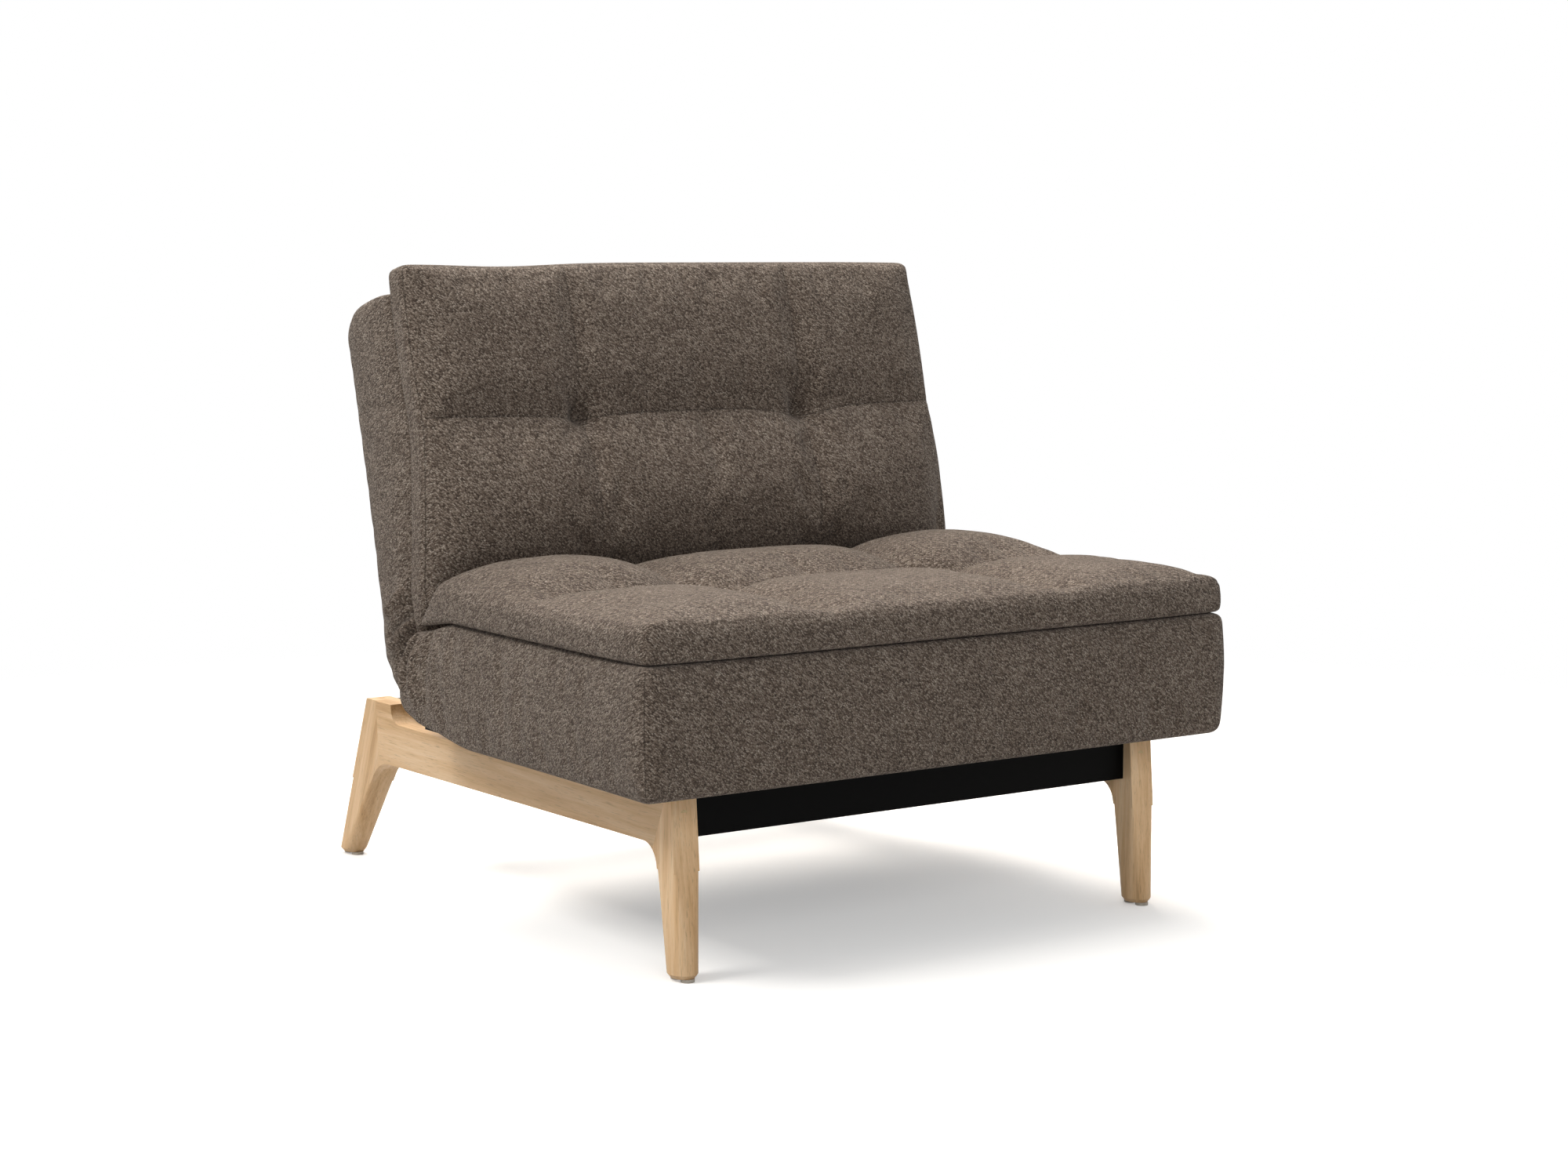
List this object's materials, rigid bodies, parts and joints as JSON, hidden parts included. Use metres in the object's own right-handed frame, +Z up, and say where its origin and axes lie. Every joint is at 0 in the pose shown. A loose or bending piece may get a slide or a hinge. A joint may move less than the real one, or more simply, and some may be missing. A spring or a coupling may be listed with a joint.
{
  "type": "fold-down sleeper chair",
  "caption": "Armless upholstered lounge chair with tufted seat and back pads; its back lets down flat into a bed on an oak and steel base.",
  "frame": {"origin": "on the floor, at the middle of the chair's bounding box", "axes": "+X to the right as seen from the front, +Y from the front edge of the seat to the rear, +Z up from the floor"},
  "size_m": [0.9, 0.972, 0.8482],
  "materials": {
    "upholstery": "grey-brown melange twill with a soft nap",
    "dust_cloth": "black non-woven",
    "springs": "pocketed springs in white felt",
    "oak": "satin oiled oak",
    "birch": "smooth laminated birch",
    "black_steel": "satin black powder coat",
    "zinc_steel": "zinc plated",
    "brass": "plain",
    "plastic": "matt nylon"
  },
  "bodies": {
    "seat_and_base": {"front_leg_left": "oak", "front_leg_right": "oak", "rear_leg_left": "oak", "rear_leg_right": "oak", "side_rail_left": "oak", "side_rail_right": "oak", "joint_dowels": "birch", "floor_glides": "plastic", "front_cross_rail": "black_steel", "rear_cross_rail": "black_steel", "front_end_plate_left": "black_steel", "front_end_plate_right": "black_steel", "rear_end_plate_left": "black_steel", "rear_end_plate_right": "black_steel", "frame_bolts": "zinc_steel", "threaded_inserts": "brass", "seat_bracket_left": "black_steel", "seat_bracket_right": "black_steel", "bracket_bolts": "zinc_steel", "seat_bolts": "zinc_steel", "seat_front_tube": "black_steel", "seat_bearer_tube": "black_steel", "seat_rear_tube": "black_steel", "seat_side_tube_left": "black_steel", "seat_side_tube_right": "black_steel", "seat_slat_1": "birch", "seat_slat_2": "birch", "seat_slat_3": "birch", "seat_slat_4": "birch", "seat_slat_holders": "plastic", "seat_lining": "dust_cloth", "seat_spring_core": "springs", "seat_base_cushion": "upholstery", "seat_pad": "upholstery", "hinge_seat_arm_left": "zinc_steel", "hinge_seat_arm_right": "zinc_steel", "hinge_pin_left": "zinc_steel", "hinge_pin_right": "zinc_steel", "hinge_washers": "plastic", "pawl_pins": "zinc_steel"},
    "back": {"back_lower_tube": "black_steel", "back_upper_tube": "black_steel", "back_side_tube_left": "black_steel", "back_side_tube_right": "black_steel", "back_slat_1": "birch", "back_slat_2": "birch", "back_slat_3": "birch", "back_slat_4": "birch", "back_slat_holders": "plastic", "back_lining": "upholstery", "back_spring_core": "springs", "back_base_cushion": "upholstery", "back_pad": "upholstery", "hinge_back_arm_left": "zinc_steel", "hinge_back_arm_right": "zinc_steel"},
    "pawl_left": {"hinge_pawl_left": "zinc_steel"},
    "pawl_right": {"hinge_pawl_right": "zinc_steel"}
  },
  "joints": [
    {"name": "back_recline", "type": "hinge", "parent": "seat_and_base", "child": "back", "pos_m": [0, 0.154, 0.31], "axis": [-1, 0, 0], "range_deg": [-6, 76.5]},
    {"name": "pawl_left_swing", "type": "hinge", "parent": "seat_and_base", "child": "pawl_left", "pos_m": [-0.3927, 0.09672, 0.30929], "axis": [1, 0, 0], "range_deg": [0, 9.5]},
    {"name": "pawl_right_swing", "type": "hinge", "parent": "seat_and_base", "child": "pawl_right", "pos_m": [0.3927, 0.09672, 0.30929], "axis": [1, 0, 0], "range_deg": [0, 9.5]}
  ]
}
